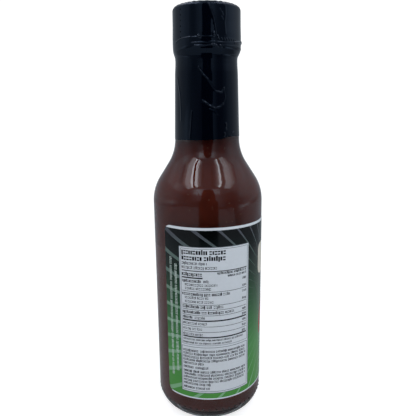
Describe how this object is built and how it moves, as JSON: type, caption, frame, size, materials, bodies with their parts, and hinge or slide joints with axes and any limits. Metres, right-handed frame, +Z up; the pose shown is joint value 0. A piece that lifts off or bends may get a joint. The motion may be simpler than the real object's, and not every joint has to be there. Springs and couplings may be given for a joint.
{
  "type": "hot sauce bottle",
  "caption": "Clear glass long-neck bottle filled with dark red sauce, closed by a screw cap under a black shrink band, with a green wrap-round label.",
  "frame": {"origin": "middle of the base ring, on the surface that the bottle stands on", "axes": "+Z up along the bottle's axis; -Y towards the viewer of the printed panel; +X to that viewer's right"},
  "size_m": [0.0479, 0.0482, 0.1753],
  "materials": {
    "clear_glass": "clear moulded glass, polished",
    "red_brown_sauce": "thick dark red-brown sauce with fine specks",
    "black_plastic": "moulded black polypropylene",
    "black_film": "glossy heat-shrunk film with creases",
    "printed_label": "gloss-varnished printed paper, green fading to black"
  },
  "bodies": {
    "root": {"bottle": "clear_glass", "sauce": "red_brown_sauce", "cap": "black_plastic", "shrink_band": "black_film", "label": "printed_label"}
  },
  "joints": []
}
